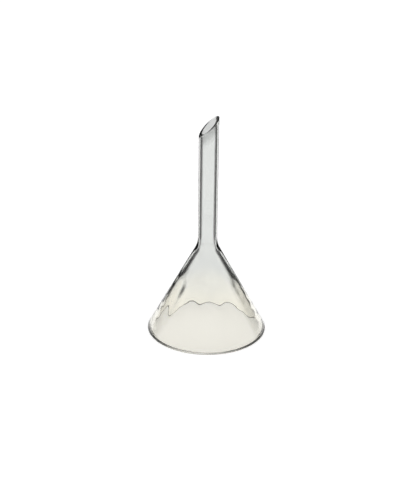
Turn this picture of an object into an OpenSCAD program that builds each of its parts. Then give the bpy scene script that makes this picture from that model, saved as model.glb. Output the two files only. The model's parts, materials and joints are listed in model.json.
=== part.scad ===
// Conical glass filter funnel, standing on its mouth with the stem up.
// The inside of the cone is fluted towards the mouth, so that a filter paper stands off the wall and the
// liquid runs down behind it. The free end of the stem is cut on a slant, so that it drips from its point.

/* [Cone] */
// Outside diameter of the rim
mouth_d = 50; // [40:1:90]
// Full angle of the cone, outside, in degrees
cone_angle = 58; // [52:1:66]
// Wall at the mouth, measured level through a ridge
rim_wall = 3.2; // [2.8:0.1:5]
// Wall at the neck, measured level where the hollow meets the bore
neck_wall = 2.2; // [1.6:0.1:3]
// Radius of the melted edge round the foot of the rim
rim_round = 0.5; // [0.3:0.1:1]

/* [Flutes] */
// Number of flutes round the inside of the cone
flute_count = 8; // [8:1:16]
// Depth of a flute at the mouth
flute_depth = 1.4; // [1.1:0.1:1.8]
// Width of the ridge between two flutes at the mouth
ridge_w = 2; // [1.8:0.1:4]
// Height over the mouth at which the flutes run out
flute_l = 20.5; // [12:0.5:21]
// Turn of the first ridge from the front, in degrees
flute_turn = -13; // [-30:1:30]

/* [Neck] */
// Radius of the sweep from the cone into the stem, outside
neck_sweep = 9; // [4:0.5:14]
// Radius of the sweep from the hollow into the bore
throat_sweep = 6; // [3:0.5:12]

/* [Stem] */
// Outside diameter of the stem
stem_d = 8; // [6:0.1:12]
// Wall of the stem
stem_wall = 1.3; // [0.8:0.1:2]
// Length of the stem, from the neck to the middle of its cut end
stem_l = 48.9; // [30:0.1:120]
// Slant of the cut end from level, in degrees
cut_slant = 45; // [20:1:60]
// Turn of the high side of the cut, from the right towards the back, in degrees
cut_turn = 18; // [0:1:90]

/* [Hidden] */
$fn = 96;
glass = [0.80, 0.88, 0.86, 0.6];

stem_r = stem_d / 2;
bore_r = stem_r - stem_wall;
half_angle = cone_angle / 2;

// The foot is the corner of the cone's line and the mouth. Its melted edge reaches mouth_d.
foot_set = rim_round / tan((90 - half_angle) / 2);
foot_r = mouth_d / 2 + foot_set - rim_round;

// Heights over the mouth: where the cone's line meets the stem, the middle of the cut end, its point
neck_z = (foot_r - stem_r) / tan(half_angle);
tip_z = neck_z + stem_l;
top_z = tip_z + stem_r * tan(cut_slant);

// The ridge cone: from the rim's wall at the mouth to the bore at the throat
ridge_r = foot_r - rim_wall;
throat_z = (foot_r - bore_r - neck_wall) / tan(half_angle);
ridge_angle = atan((ridge_r - bore_r) / throat_z);
apex_z = ridge_r / tan(ridge_angle);

// A flute is cut by a cylinder that leans on the wall. At the mouth it leaves the ridge cone at the edges
// of its ridges and is flute_depth deep, and its outermost line meets the ridge cone at flute_l.
sector = 180 / flute_count;
flute_half_w = ridge_r * sin(sector) - ridge_w / 2;
flute_r = 1 / (cos(ridge_angle) / ridge_r + 2 * flute_depth / pow(flute_half_w, 2));
floor_r = ridge_r + flute_depth / cos(ridge_angle);
runout_r = ridge_r * (1 - flute_l / apex_z);
flute_lean = atan((floor_r - runout_r) / flute_l);

// Half outline of a sweep of radius r, where a line at angle from the upright turns upright at corner
module sweep(corner, angle, r) {
    t = r * tan(angle / 2);
    centre = corner + [r, t];
    low = corner + t * [sin(angle), -cos(angle)];
    difference() {
        polygon([[0, low[1]], low, centre, corner + [0, t], [0, corner[1] + t]]);
        translate(centre)
            circle(r);
    }
}

// What the melted edge takes off the corner of the foot
module foot_corner() {
    centre = [foot_r - foot_set, rim_round];
    outward = [cos(half_angle), sin(half_angle)];
    difference() {
        polygon([
            centre,
            centre + 2 * rim_round * outward,
            [foot_r + rim_round, -rim_round],
            centre - [0, 2 * rim_round]
        ]);
        translate(centre)
            circle(rim_round);
    }
}

// Half outline of the outside: the cone, the sweep at the neck and the stem
module outside_outline() {
    blank_z = top_z + stem_r;
    difference() {
        union() {
            polygon([[0, 0], [foot_r, 0], [stem_r, neck_z], [stem_r, blank_z], [0, blank_z]]);
            sweep([stem_r, neck_z], half_angle, neck_sweep);
        }
        foot_corner();
    }
}

// Half outline of the hollow: the ridge cone, the sweep at the throat and the bore
module hollow_outline() {
    below_r = ridge_r + rim_wall * tan(ridge_angle);
    past_z = top_z + stem_d;
    polygon([[0, -rim_wall], [below_r, -rim_wall], [bore_r, throat_z], [bore_r, past_z], [0, past_z]]);
    sweep([bore_r, throat_z], ridge_angle, throat_sweep);
}

// One flute, its middle line over +X, kept to its own sector between two ridges
module flute() {
    turn = sector * 0.98;
    reach = 2 * foot_r;
    intersection() {
        translate([floor_r - flute_r / cos(flute_lean), 0, 0])
            rotate([0, -flute_lean, 0])
                translate([0, 0, -2 * flute_r])
                    cylinder(h = 2 * flute_r + 1.2 * flute_l / cos(flute_lean), r = flute_r);
        translate([0, 0, -rim_wall])
            linear_extrude(rim_wall + flute_l)
                polygon([[0, 0], reach * [cos(turn), -sin(turn)], reach * [cos(turn), sin(turn)]]);
    }
}

// The ring of flutes. Turns are taken from the front, which is -Y.
module flutes() {
    for (i = [0 : flute_count - 1])
        rotate([0, 0, flute_turn + (2 * i + 1) * sector - 90])
            flute();
}

// What the slanted cut takes off the stem
module cut_off() {
    size = 6 * stem_d;
    translate([0, 0, tip_z])
        rotate([0, -cut_slant, cut_turn])
            translate([-size / 2, -size / 2, 0])
                cube(size);
}

module funnel() {
    color(glass)
        difference() {
            rotate_extrude()
                outside_outline();
            rotate_extrude()
                hollow_outline();
            flutes();
            cut_off();
        }
}

funnel();
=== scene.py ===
"""Conical glass filter funnel, standing on its mouth on white paper.

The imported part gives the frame. One closed glass surface stands for its node, and a plain studio shows it.
Lengths are in metres and angles in degrees. +Z runs up the stem, -Y is the front and +X the right.
"""
import json
import logging
import math
from dataclasses import dataclass
from enum import Enum
from typing import Any

import bpy
import numpy as np
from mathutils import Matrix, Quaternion, Vector


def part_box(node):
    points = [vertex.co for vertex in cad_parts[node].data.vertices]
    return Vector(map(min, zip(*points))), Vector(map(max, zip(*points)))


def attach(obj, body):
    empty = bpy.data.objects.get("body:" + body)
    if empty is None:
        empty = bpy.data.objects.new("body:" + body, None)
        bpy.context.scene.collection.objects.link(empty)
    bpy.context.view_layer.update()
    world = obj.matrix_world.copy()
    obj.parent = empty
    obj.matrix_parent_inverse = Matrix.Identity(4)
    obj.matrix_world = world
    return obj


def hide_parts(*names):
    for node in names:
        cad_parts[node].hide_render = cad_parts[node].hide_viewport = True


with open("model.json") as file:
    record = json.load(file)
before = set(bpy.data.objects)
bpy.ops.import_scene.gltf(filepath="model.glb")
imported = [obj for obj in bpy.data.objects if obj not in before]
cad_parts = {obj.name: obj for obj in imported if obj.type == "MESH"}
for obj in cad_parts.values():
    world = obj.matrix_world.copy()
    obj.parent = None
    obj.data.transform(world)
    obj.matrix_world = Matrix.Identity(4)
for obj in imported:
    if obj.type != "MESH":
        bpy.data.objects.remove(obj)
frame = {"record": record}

MM = 0.001
log = logging.getLogger("funnel")


class Wire:
    """A shader socket that takes part in Python expressions, with one Math node for each operation."""

    def __init__(self, board: "Board", socket: bpy.types.NodeSocket) -> None:
        """Keeps the socket and the board that its nodes go on."""
        self.board = board
        self.socket = socket

    def _math(self, operation: str, first: "Wire | float", second: "Wire | float") -> "Wire":
        """Adds one Math node.

        Args:
            operation: name of the operation.
            first: left operand, a wire or a number.
            second: right operand, a wire or a number.

        Returns:
            The wire that carries the result.
        """
        return self.board.wire("ShaderNodeMath", {"operation": operation}, {0: first, 1: second})

    def __add__(self, other: "Wire | float") -> "Wire":
        """Sum."""
        return self._math("ADD", self, other)

    def __radd__(self, other: float) -> "Wire":
        """Sum with a number on the left."""
        return self._math("ADD", other, self)

    def __sub__(self, other: "Wire | float") -> "Wire":
        """Difference."""
        return self._math("SUBTRACT", self, other)

    def __rsub__(self, other: float) -> "Wire":
        """Difference from a number on the left."""
        return self._math("SUBTRACT", other, self)

    def __mul__(self, other: "Wire | float") -> "Wire":
        """Product."""
        return self._math("MULTIPLY", self, other)

    def __rmul__(self, other: float) -> "Wire":
        """Product with a number on the left."""
        return self._math("MULTIPLY", other, self)

    def __abs__(self) -> "Wire":
        """Size without its sign."""
        return self._math("ABSOLUTE", self, 0.0)

    def angle(self, other: "Wire | float") -> "Wire":
        """Angle whose tangent is this value over the other, in radians."""
        return self._math("ARCTAN2", self, other)

    def at_most(self, other: "Wire | float") -> "Wire":
        """The smaller of the two."""
        return self._math("MINIMUM", self, other)

    def fade(self, start: float, end: float, before: float = 0.0, after: float = 1.0) -> "Wire":
        """Smooth change over a stretch of this value.

        Args:
            start: value at which the change starts.
            end: value at which it ends.
            before: result up to the start.
            after: result from the end on.

        Returns:
            The wire that carries the result.
        """
        stretch = {"From Min": start, "From Max": end, "To Min": before, "To Max": after}
        settings = {"interpolation_type": "SMOOTHSTEP"}
        return self.board.wire("ShaderNodeMapRange", settings, {"Value": self, **stretch})


class Board:
    """The node tree of one finish. One method adds any node."""

    def __init__(self, tree: bpy.types.NodeTree) -> None:
        """Takes a tree and empties it."""
        self.tree = tree
        self.tree.nodes.clear()

    def node(self, kind: str, settings: dict[str, Any] | None = None,
             sockets: dict[Any, Any] | None = None) -> bpy.types.Node:
        """Adds a node.

        Args:
            kind: the node's type.
            settings: what is set on the node itself, before its sockets.
            sockets: values, wires or output sockets for its inputs, by name or number.

        Returns:
            The new node.
        """
        made = self.tree.nodes.new(kind)
        for name, value in (settings or {}).items():
            setattr(made, name, value)
        for key, value in (sockets or {}).items():
            if isinstance(value, Wire):
                self.tree.links.new(value.socket, made.inputs[key])
            elif isinstance(value, bpy.types.NodeSocket):
                self.tree.links.new(value, made.inputs[key])
            else:
                made.inputs[key].default_value = value
        return made

    def wire(self, kind: str, settings: dict[str, Any] | None = None,
             sockets: dict[Any, Any] | None = None, output: int | str = 0) -> Wire:
        """Adds a node as node() does and returns the wire of one of its outputs."""
        return Wire(self, self.node(kind, settings, sockets).outputs[output])

    def place(self, source: str, output: str) -> tuple[Wire, Wire, Wire]:
        """The three coordinates of a place.

        Args:
            source: type of the node that gives the place.
            output: name of its output.

        Returns:
            The wires of x, y and z.
        """
        parts = self.node("ShaderNodeSeparateXYZ", {}, {0: self.node(source).outputs[output]})
        return tuple(Wire(self, socket) for socket in parts.outputs)


def smooth(share: np.ndarray) -> np.ndarray:
    """Smooth step, 3 s^2 - 2 s^3 with s kept between 0 and 1."""
    kept = np.clip(share, 0.0, 1.0)
    return kept * kept * (3 - 2 * kept)


class Band(Enum):
    """The stretches of the funnel's section, in the order in which the surface runs round it."""

    FOOT = "outer edge of the rim"
    CONE = "outside of the cone"
    NECK = "sweep from the cone into the stem"
    STEM = "outside of the stem"
    CUT = "slanted end of the stem"
    BORE = "inside of the stem"
    THROAT = "sweep from the bore into the hollow"
    RIBS = "ribbed inside of the cone"
    LIP = "inner edge of the rim"


ROWS: dict[Band, int] = {
    Band.FOOT: 12, Band.CONE: 24, Band.NECK: 16, Band.STEM: 20, Band.CUT: 18,
    Band.BORE: 16, Band.THROAT: 14, Band.RIBS: 44, Band.LIP: 10,
}


@dataclass(frozen=True)
class GlassFinish:
    """Clear glass, cream towards the rim and greyed towards the stem by painted shade, with faint marks of
    its making and painted shade in the bore under the cut.
    """

    name: str = "clear_glass"
    ior: float = 1.5
    tint: tuple[float, float, float] = (0.62, 0.60, 0.36)
    density: float = 20.0
    # Painted shade: the glass turns from the cream rim colour to a shaded grey towards the stem, between the
    # two heights below.
    rim_colour: tuple[float, float, float] = (0.95, 0.935, 0.88)
    stem_shaded_colour: tuple[float, float, float] = (0.82, 0.83, 0.825)
    colour_from: float = 13 * MM
    colour_to: float = 26 * MM
    stem_below: float = 4 * MM
    stem_above: float = 6 * MM
    film_pitch: float = 9 * MM
    film_stretch: float = 1.6
    film_detail: float = 3.0
    film_band: tuple[float, float] = (0.52, 0.74)
    film_shade: float = 0.96
    # Painted shade: darkens the inside of the bore for a stretch under the cut, where the hollow looks grey.
    tip_shade: float = 0.5
    tip_shade_l: float = 7 * MM
    tip_shade_full: float = 0.3
    bore_shade_r: float = 3.1 * MM
    bore_shade_core: float = 0.8
    polish: float = 0.0
    film: float = 0.035
    ground: float = 0.4
    grain_pitch: float = 0.5 * MM
    cut_band: tuple[float, float] = (-0.5 * MM, -0.1 * MM)
    rim_top: float = 1.3 * MM
    rim_full: float = 0.4
    ripple_pitch: float = 7 * MM
    ripple_stretch: float = 2.5
    ripple_height: float = 0.03 * MM
    drawn_pitch: float = 0.9 * MM
    drawn_stretch: float = 60.0
    drawn_height: float = 0.008 * MM

    def material(self, neck_z: float, cut: tuple[float, float, float]) -> bpy.types.Material:
        """Makes the material.

        The colour goes from the cream rim colour to a grey towards the stem by height; the grey towards
        the stem is painted shade, not the glass's own colour. The pressed cone has broad shallow ripples and
        the drawn stem fine lines along its length. A thin film of handling dulls the polish in patches,
        painted shade darkens the inside of the bore under the cut, and the cut end and the rim keep a trace
        of their grinding.

        Args:
            neck_z: height at which the cone gives way to the stem.
            cut: height of the cut end's middle, and its rise for each metre along x and y.

        Returns:
            The material.
        """
        made = bpy.data.materials.new(self.name)
        made.use_nodes = True
        board = Board(made.node_tree)
        spot = board.node("ShaderNodeTexCoord").outputs["Object"]
        x, y, z = board.place("ShaderNodeTexCoord", "Object")
        on_stem = z.fade(neck_z - self.stem_below, neck_z + self.stem_above)

        def cloud(pitch: float, stretch: float, detail: float) -> Wire:
            """Noise from 0 to 1 with that pitch across, and stretched that much up the axis."""
            scale = (1.0 / pitch, 1.0 / pitch, 1.0 / (pitch * stretch))
            moved = board.node("ShaderNodeMapping", {}, {"Vector": spot, "Scale": scale}).outputs[0]
            return board.wire("ShaderNodeTexNoise", {}, {"Vector": moved, "Scale": 1.0, "Detail": detail})

        height_mid, across, along = cut
        from_cut = z - (height_mid + across * x + along * y)
        cut_face = from_cut.fade(*self.cut_band)
        patches = cloud(self.film_pitch, self.film_stretch, self.film_detail).fade(*self.film_band)
        rough = self.polish + self.film * patches
        rim_face = z.fade(self.rim_full * self.rim_top, self.rim_top, 1.0, 0.0)
        rough = rough + self.ground * (cut_face + rim_face) * cloud(self.grain_pitch, 1.0, 2.0)
        # Painted shade: the colour greys towards the stem by height.
        height = z.fade(self.colour_from, self.colour_to)
        # Painted shade inside the bore, under the cut: a mask by radius and by depth under the cut plane.
        bore_edge = self.bore_shade_r ** 2
        in_bore = (x * x + y * y).fade(bore_edge * self.bore_shade_core, bore_edge, 1.0, 0.0)
        tip_shade_mask = in_bore * from_cut.fade(-self.tip_shade_l, -self.tip_shade_full * self.tip_shade_l)
        # The shade factor mixes the random handling patches with the painted shade in the bore.
        shade = 1.0 - (1.0 - self.film_shade) * patches - self.tip_shade * tip_shade_mask
        # Colour by height, from the cream rim to the painted-shade grey of the stem, times the shade factor.
        pairs = zip(self.rim_colour, self.stem_shaded_colour)
        tones = [shade * (low + (high - low) * height) for low, high in pairs]
        channels = dict(zip(("Red", "Green", "Blue"), tones))
        colour = board.node("ShaderNodeCombineColor", {}, channels).outputs[0]
        relief = self.ripple_height * cloud(self.ripple_pitch, self.ripple_stretch, 1.0) * (1.0 - on_stem)
        relief = relief + self.drawn_height * cloud(self.drawn_pitch, self.drawn_stretch, 1.0) * on_stem
        bump = board.node("ShaderNodeBump", {}, {"Strength": 1.0, "Distance": 1.0, "Height": relief})
        shader = board.node("ShaderNodeBsdfPrincipled", {}, {
            "Base Color": colour, "Roughness": rough, "IOR": self.ior, "Transmission Weight": 1.0,
            "Normal": bump.outputs[0]})
        depth = board.node("ShaderNodeVolumeAbsorption", {}, {
            "Color": (*self.tint, 1.0), "Density": self.density})
        board.node("ShaderNodeOutputMaterial", {}, {
            "Surface": shader.outputs[0], "Volume": depth.outputs[0]})
        return made


@dataclass
class Funnel:
    """The funnel: one piece of glass, as one closed surface round its whole section.

    The section is carried round the axis. At the slanted end and over the ribs its points shift with the
    turn, so the surface is a radius and a height on a grid of rows (round the section) and turns (round the
    axis). The outside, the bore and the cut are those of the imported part. The ribs, the rim wall and the
    throat are the scene's own.
    """

    mouth_r: float
    top_z: float
    stem_r: float
    bore_r: float
    cone_angle: float = 58.0
    rim_wall: float = 2.3 * MM
    neck_wall: float = 2.2 * MM
    rim_round: float = 0.5 * MM
    lip_round: float = 0.3 * MM
    rib_count: int = 8
    rib_rise: float = 0.9 * MM
    rib_half_w: float = 3.0 * MM
    rib_head_z: float = 22.0 * MM
    rib_end_z: float = 26.5 * MM
    rib_turn: float = -17.0
    rib_runout: float = 2.0 * MM
    rib_worn_turn: float = 160.0
    rib_worn_power: float = 1.5
    neck_sweep: float = 9.0 * MM
    throat_sweep: float = 14.0 * MM
    cut_slant: float = 45.0
    cut_turn: float = 18.0
    cut_round: float = 0.3 * MM
    waver: float = 0.07 * MM
    waver_lobes: tuple[int, int] = (3, 5)
    waver_climb: tuple[float, float] = (1.5 / MM, -0.31 / MM)
    waver_start: float = 1.0
    turns: int = 560

    @classmethod
    def from_frame(cls) -> "Funnel":
        """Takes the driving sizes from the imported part: its box, and the radii of its stem and bore."""
        low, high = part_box("funnel")
        radii = {m["name"]: m["dims"].get("r_mm", 0.0) * MM for m in frame["record"]["mounts"]}
        return cls(mouth_r=(high[0] - low[0]) / 2, top_z=high[2],
                   stem_r=radii["stem"], bore_r=radii["stem_bore"])

    def __post_init__(self) -> None:
        """Works out the corners of the section from the driving sizes."""
        self.half = math.radians(self.cone_angle / 2)
        self.foot_set = self.rim_round / math.tan((math.pi / 2 - self.half) / 2)
        self.foot_r = self.mouth_r + self.foot_set - self.rim_round
        self.neck_z = (self.foot_r - self.stem_r) / math.tan(self.half)
        self.rise = math.tan(math.radians(self.cut_slant))
        self.tip_z = self.top_z - self.stem_r * self.rise
        self.hollow_r = self.foot_r - self.rim_wall
        self.throat_z = (self.foot_r - self.bore_r - self.neck_wall) / math.tan(self.half)
        self.hollow_half = math.atan((self.hollow_r - self.bore_r) / self.throat_z)
        self.theta = np.linspace(0.0, 2 * np.pi, self.turns, endpoint=False)[None, :]

    def cut_plane(self) -> tuple[float, float, float]:
        """Height of the cut end's middle, and its rise for each metre along x and y."""
        turn = math.radians(self.cut_turn)
        return self.tip_z, self.rise * math.cos(turn), self.rise * math.sin(turn)

    def cut_z(self, radius: np.ndarray | float) -> np.ndarray:
        """Height of the cut plane over a circle: tip_z + radius rise cos(turn from the high side)."""
        from_high = self.theta - math.pi / 2 - math.radians(self.cut_turn)
        return self.tip_z + radius * self.rise * np.cos(from_high)

    def wall_radius(self, z: np.ndarray) -> np.ndarray:
        """Radius of the ribbed wall.

        The bare wall has r = hollow_r - z tan(hollow_half). A rib is a rounded ridge on it,
        rise exp(-(s / w)^2) tall at s across from its crest. Its rise grows smoothly from nothing at the
        rim to rib_rise at its head and runs out at rib_end_z, in the throat. Wear takes it down to nothing
        at rib_worn_turn, by (0.5 - 0.5 cos(turn from there))^rib_worn_power. A slow waver of a few
        hundredths of a millimetre, a sum of two sines, is laid over it.

        Args:
            z: column of heights.

        Returns:
            Grid of radii, heights by turns.
        """
        bare = self.hollow_r - z * math.tan(self.hollow_half)
        sector = 2 * math.pi / self.rib_count
        turn = (self.theta - math.radians(self.rib_turn) + sector / 2) % sector - sector / 2
        rise = self.rib_rise * smooth(z / self.rib_head_z)
        rise = rise * smooth((self.rib_end_z - z) / (self.rib_end_z - self.rib_head_z + self.rib_runout))
        kept = 0.5 - 0.5 * np.cos(self.theta - math.radians(self.rib_worn_turn))
        rise = rise * kept ** self.rib_worn_power
        wall = bare - rise * np.exp(-(bare * np.sin(turn) / self.rib_half_w) ** 2)
        (broad, fine), (up, down) = self.waver_lobes, self.waver_climb
        slow = np.sin(broad * self.theta + up * z) + np.sin(fine * self.theta + down * z + self.waver_start)
        fade = np.clip((self.throat_z - z) / self.throat_z, 0.0, 1.0)
        return wall + self.waver * slow * fade / 2

    def arc(self, centre: tuple[float, float], radius: float, start: float, end: float,
            rows: int) -> np.ndarray:
        """Points of an arc in the section, centre + radius (cos, sin) from start to end, in radians."""
        angle = np.linspace(start, end, rows)
        return np.stack([centre[0] + radius * np.cos(angle), centre[1] + radius * np.sin(angle)], axis=1)

    def bands(self) -> dict[Band, tuple[np.ndarray, np.ndarray]]:
        """Works out each stretch of the section.

        Returns:
            A radius and a height for each band, each a column, or a grid where it shifts with the turn.
        """
        made: dict[Band, tuple[np.ndarray, np.ndarray]] = {}

        def column(band: Band, points: np.ndarray) -> None:
            """Keeps the points of a band that is the same all the way round."""
            made[band] = (points[:, :1], points[:, 1:])

        quarter = math.pi / 2
        foot_centre = (self.foot_r - self.foot_set, self.rim_round)
        foot = self.arc(foot_centre, self.rim_round, -quarter, self.half, ROWS[Band.FOOT])
        column(Band.FOOT, foot)

        neck_t = self.neck_sweep * math.tan(self.half / 2)
        neck_centre = (self.stem_r + self.neck_sweep, self.neck_z + neck_t)
        neck = self.arc(neck_centre, self.neck_sweep, math.pi + self.half, math.pi, ROWS[Band.NECK])
        share = np.linspace(0.0, 1.0, ROWS[Band.CONE] + 2)[1:-1, None]
        column(Band.CONE, foot[-1] + (neck[0] - foot[-1]) * share)
        column(Band.NECK, neck)

        edge = self.cut_round
        share = np.linspace(0.0, 1.0, ROWS[Band.STEM] + 1)[1:, None]
        stem_end = self.cut_z(self.stem_r) - edge
        made[Band.STEM] = (self.stem_r, neck[-1, 1] + share * (stem_end - neck[-1, 1]))
        each = ROWS[Band.CUT] // 2
        angle = np.linspace(0.0, math.pi, 2 * each + 1)[1:-1, None]
        middle = np.where(angle <= quarter, self.stem_r - edge, self.bore_r + edge)
        ring = middle + edge * np.cos(angle)
        made[Band.CUT] = (ring, self.cut_z(ring) - edge * (1 - np.sin(angle)))

        throat_t = self.throat_sweep * math.tan(self.hollow_half / 2)
        throat_centre = (self.bore_r + self.throat_sweep, self.throat_z + throat_t)
        throat_end = math.pi + self.hollow_half
        throat = self.arc(throat_centre, self.throat_sweep, math.pi, throat_end, ROWS[Band.THROAT])
        share = np.linspace(1.0, 0.0, ROWS[Band.BORE] + 1)[:-1, None]
        bore_end = self.cut_z(self.bore_r) - edge
        made[Band.BORE] = (self.bore_r, throat[0, 1] + share * (bore_end - throat[0, 1]))
        column(Band.THROAT, throat)

        lip = self.lip_round
        lip_z = lip * (1 + math.sin(self.hollow_half))
        share = np.linspace(0.0, 1.0, ROWS[Band.RIBS] + 1)[1:, None]
        z = throat[-1, 1] + (lip_z - throat[-1, 1]) * share
        made[Band.RIBS] = (self.wall_radius(z), z)
        angle = np.linspace(throat_end, 3 * quarter, ROWS[Band.LIP] + 1)[1:, None]
        lip_r = made[Band.RIBS][0][-1:] + lip * (math.cos(self.hollow_half) + np.cos(angle))
        made[Band.LIP] = (lip_r, lip * (1 + np.sin(angle)))
        return made

    def build(self) -> bpy.types.Object:
        """Makes the glass: x = r sin(theta), y = -r cos(theta), with both directions of the grid closed.

        Returns:
            The object, at the origin.
        """
        made = self.bands()
        ones = np.ones_like(self.theta)
        sections = [made[band] for band in Band]
        grids = [np.broadcast_arrays(radius * ones, height * ones) for radius, height in sections]
        radius = np.vstack([grid[0] for grid in grids])
        height = np.vstack([grid[1] for grid in grids])
        points = np.stack([radius * np.sin(self.theta), -radius * np.cos(self.theta), height], axis=-1)
        rows, turns = radius.shape
        row, turn = np.meshgrid(np.arange(rows), np.arange(turns), indexing="ij")
        next_row, next_turn = (row + 1) % rows, (turn + 1) % turns
        corners = [row * turns + turn, row * turns + next_turn,
                   next_row * turns + next_turn, next_row * turns + turn]
        quads = np.stack(corners, axis=-1).reshape(-1, 4).astype(np.int32)
        mesh = bpy.data.meshes.new("glass_funnel")
        mesh.vertices.add(points.size // 3)
        mesh.vertices.foreach_set("co", points.ravel())
        mesh.loops.add(quads.size)
        mesh.loops.foreach_set("vertex_index", quads.ravel())
        mesh.polygons.add(len(quads))
        mesh.polygons.foreach_set("loop_start", np.arange(0, quads.size, 4, dtype=np.int32))
        mesh.polygons.foreach_set("use_smooth", np.ones(len(quads), dtype=bool))
        mesh.update()
        mesh.validate()
        piece = bpy.data.objects.new("glass_funnel", mesh)
        bpy.context.scene.collection.objects.link(piece)
        return piece

    def dress(self, piece: bpy.types.Object, finish: GlassFinish) -> None:
        """Gives the glass its finish and its place in the frame.

        Args:
            piece: the object that build() made.
            finish: the glass.
        """
        piece.data.materials.append(finish.material(self.neck_z, self.cut_plane()))
        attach(piece, "root")
        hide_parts("funnel")


@dataclass(frozen=True)
class Cards:
    """Two dim sectors behind the funnel, to the left and the right, that give the glass its dark edges."""

    inner: float = 22.0
    outer: float = 65.0
    edge: float = 10.0

    def mask(self, x: Wire, y: Wire) -> Wire:
        """Where the cards are, by the turn from the back: 1 there and 0 elsewhere.

        Args:
            x: place or direction across.
            y: place or direction to the back.

        Returns:
            The wire that carries the result.
        """
        inner, outer, edge = (math.radians(turn) for turn in (self.inner, self.outer, self.edge))
        turn = abs(x).angle(y)
        return turn.fade(inner, inner + edge) * turn.fade(outer, outer + edge, 1.0, 0.0)


@dataclass(frozen=True)
class PaperFinish:
    """White paper that takes a shadow. The eye sees it white all over, the glass sees the cards on it."""

    name: str = "white_paper"
    paper: float = 0.80
    card_tone: float = 0.06
    glow: float = 0.56
    card_near: float = 60 * MM
    card_far: float = 100 * MM

    def material(self, cards: Cards) -> bpy.types.Material:
        """Makes the material: diffuse paper with the cards on it, and a glow.

        The glow adds to the paper for the eye and the glass. On the cards it is white for the eye alone.

        Args:
            cards: the dim sectors.

        Returns:
            The material.
        """
        made = bpy.data.materials.new(self.name)
        made.use_nodes = True
        board = Board(made.node_tree)
        rays = board.node("ShaderNodeLightPath")
        direct = Wire(board, rays.outputs["Is Camera Ray"])
        mirrored = Wire(board, rays.outputs["Is Glossy Ray"])
        refracted = Wire(board, rays.outputs["Is Transmission Ray"])
        x, y, _ = board.place("ShaderNodeNewGeometry", "Position")
        away = (x * x + y * y).fade(self.card_near ** 2, self.card_far ** 2)
        sheet = 1.0 - away * cards.mask(x, y)
        tone = self.card_tone + (self.paper - self.card_tone) * sheet
        channels = {"Red": tone, "Green": tone, "Blue": tone}
        colour = board.node("ShaderNodeCombineColor", {}, channels).outputs[0]
        matt = board.node("ShaderNodeBsdfDiffuse", {}, {"Color": colour})
        seen = (mirrored + refracted).at_most(1.0) * self.glow * sheet
        level = direct * (1.0 - (1.0 - self.glow) * sheet) + seen
        glow = board.node("ShaderNodeEmission", {}, {"Strength": level})
        both = board.node("ShaderNodeAddShader", {}, {0: matt.outputs[0], 1: glow.outputs[0]})
        board.node("ShaderNodeOutputMaterial", {}, {"Surface": both.outputs[0]})
        return made


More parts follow.
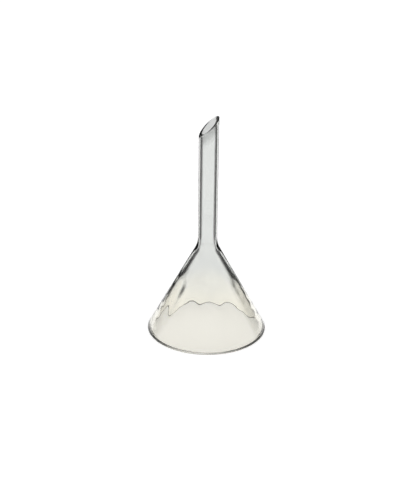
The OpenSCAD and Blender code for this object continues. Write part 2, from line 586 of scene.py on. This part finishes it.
@dataclass(frozen=True)
class Studio:
    """White paper with two dim cards, one broad lamp overhead, and a light room."""

    paper_size: float = 4.0
    paper_gap: float = 0.02 * MM
    lamp_size: float = 0.9
    lamp_power: float = 0.9
    lamp_place: tuple[float, float, float] = (-0.35, 0.1, 1.1)
    cards: Cards = Cards()
    card_light: float = 0.08
    upper_light: float = 0.8
    upper_band: tuple[float, float] = (0.2, 0.6)

    def lay_paper(self, finish: PaperFinish) -> bpy.types.Object:
        """Lays the paper, a hair under the rim.

        Args:
            finish: the paper.

        Returns:
            The sheet.
        """
        half = self.paper_size / 2
        corner = np.array([[-half, -half], [half, -half], [half, half], [-half, half]])
        points = np.column_stack([corner, np.full(4, -self.paper_gap)])
        mesh = bpy.data.meshes.new("paper")
        mesh.from_pydata(points.tolist(), [], [(0, 1, 2, 3)])
        mesh.materials.append(finish.material(self.cards))
        sheet = bpy.data.objects.new("paper", mesh)
        bpy.context.scene.collection.objects.link(sheet)
        return sheet

    def hang_lamp(self) -> bpy.types.Object:
        """Hangs the broad lamp and turns it to the middle of the paper.

        Returns:
            The lamp.
        """
        light = bpy.data.lights.new("broad_lamp", "AREA")
        light.shape = "DISK"
        light.size = self.lamp_size
        light.energy = self.lamp_power
        lamp = bpy.data.objects.new("broad_lamp", light)
        lamp.location = self.lamp_place
        lamp.rotation_mode = "QUATERNION"
        lamp.rotation_quaternion = (-Vector(self.lamp_place)).to_track_quat("-Z", "Y")
        bpy.context.scene.collection.objects.link(lamp)
        return lamp

    def light_room(self) -> None:
        """Lights the room: white to the eye, dimmer overhead and at the two cards."""
        world = bpy.data.worlds.new("room")
        bpy.context.scene.world = world
        world.use_nodes = True
        board = Board(world.node_tree)
        x, y, z = board.place("ShaderNodeTexCoord", "Generated")
        direct = board.wire("ShaderNodeLightPath", output="Is Camera Ray")
        level = z.fade(*self.upper_band, 1.0, self.upper_light)
        level = level * (1.0 - (1.0 - self.card_light) * self.cards.mask(x, y))
        level = direct + (1 - direct) * level
        white = (1.0, 1.0, 1.0, 1.0)
        sky = board.node("ShaderNodeBackground", {}, {"Color": white, "Strength": level})
        board.node("ShaderNodeOutputWorld", {}, {"Surface": sky.outputs[0]})


@dataclass(frozen=True)
class Viewpoint:
    """The photograph's view: from the front, a little over the rim, with a long lens."""

    picture: tuple[int, int] = (410, 492)
    focal_px: float = 850.9
    distance: float = 350 * MM
    elevation: float = 22.58
    roll: float = 0.71
    aim: tuple[float, float, float] = (-1.0 * MM, 0.0, 37.05 * MM)
    sensor: float = 36.0

    def place(self) -> bpy.types.Object:
        """Sets the camera.

        Returns:
            The camera.
        """
        lens = bpy.data.cameras.new("camera")
        lens.sensor_width = self.sensor
        lens.lens = self.focal_px / max(self.picture) * self.sensor
        lens.clip_start = 1 * MM
        camera = bpy.data.objects.new("camera", lens)
        tilt = math.radians(self.elevation)
        back = Vector((0.0, -math.cos(tilt), math.sin(tilt)))
        camera.location = Vector(self.aim) + back * self.distance
        camera.rotation_mode = "QUATERNION"
        turn = Quaternion((0.0, 0.0, 1.0), math.radians(self.roll))
        camera.rotation_quaternion = (-back).to_track_quat("-Z", "Y") @ turn
        bpy.context.scene.collection.objects.link(camera)
        bpy.context.scene.camera = camera
        return camera


def main() -> None:
    """Builds the funnel and its studio, and reports each piece."""
    logging.basicConfig(level=logging.INFO, format="%(name)s: %(message)s")
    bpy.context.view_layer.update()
    bpy.context.scene.view_settings.view_transform = "Standard"
    funnel = Funnel.from_frame()
    piece = funnel.build()
    funnel.dress(piece, GlassFinish())
    log.info("%s: %d faces, %d ribs", piece.name, len(piece.data.polygons), funnel.rib_count)
    studio = Studio()
    sheet = studio.lay_paper(PaperFinish())
    lamp = studio.hang_lamp()
    studio.light_room()
    log.info("studio: %s, %s", sheet.name, lamp.name)
    camera = Viewpoint().place()
    log.info("view: %s", camera.name)


if __name__ == "__main__":
    main()
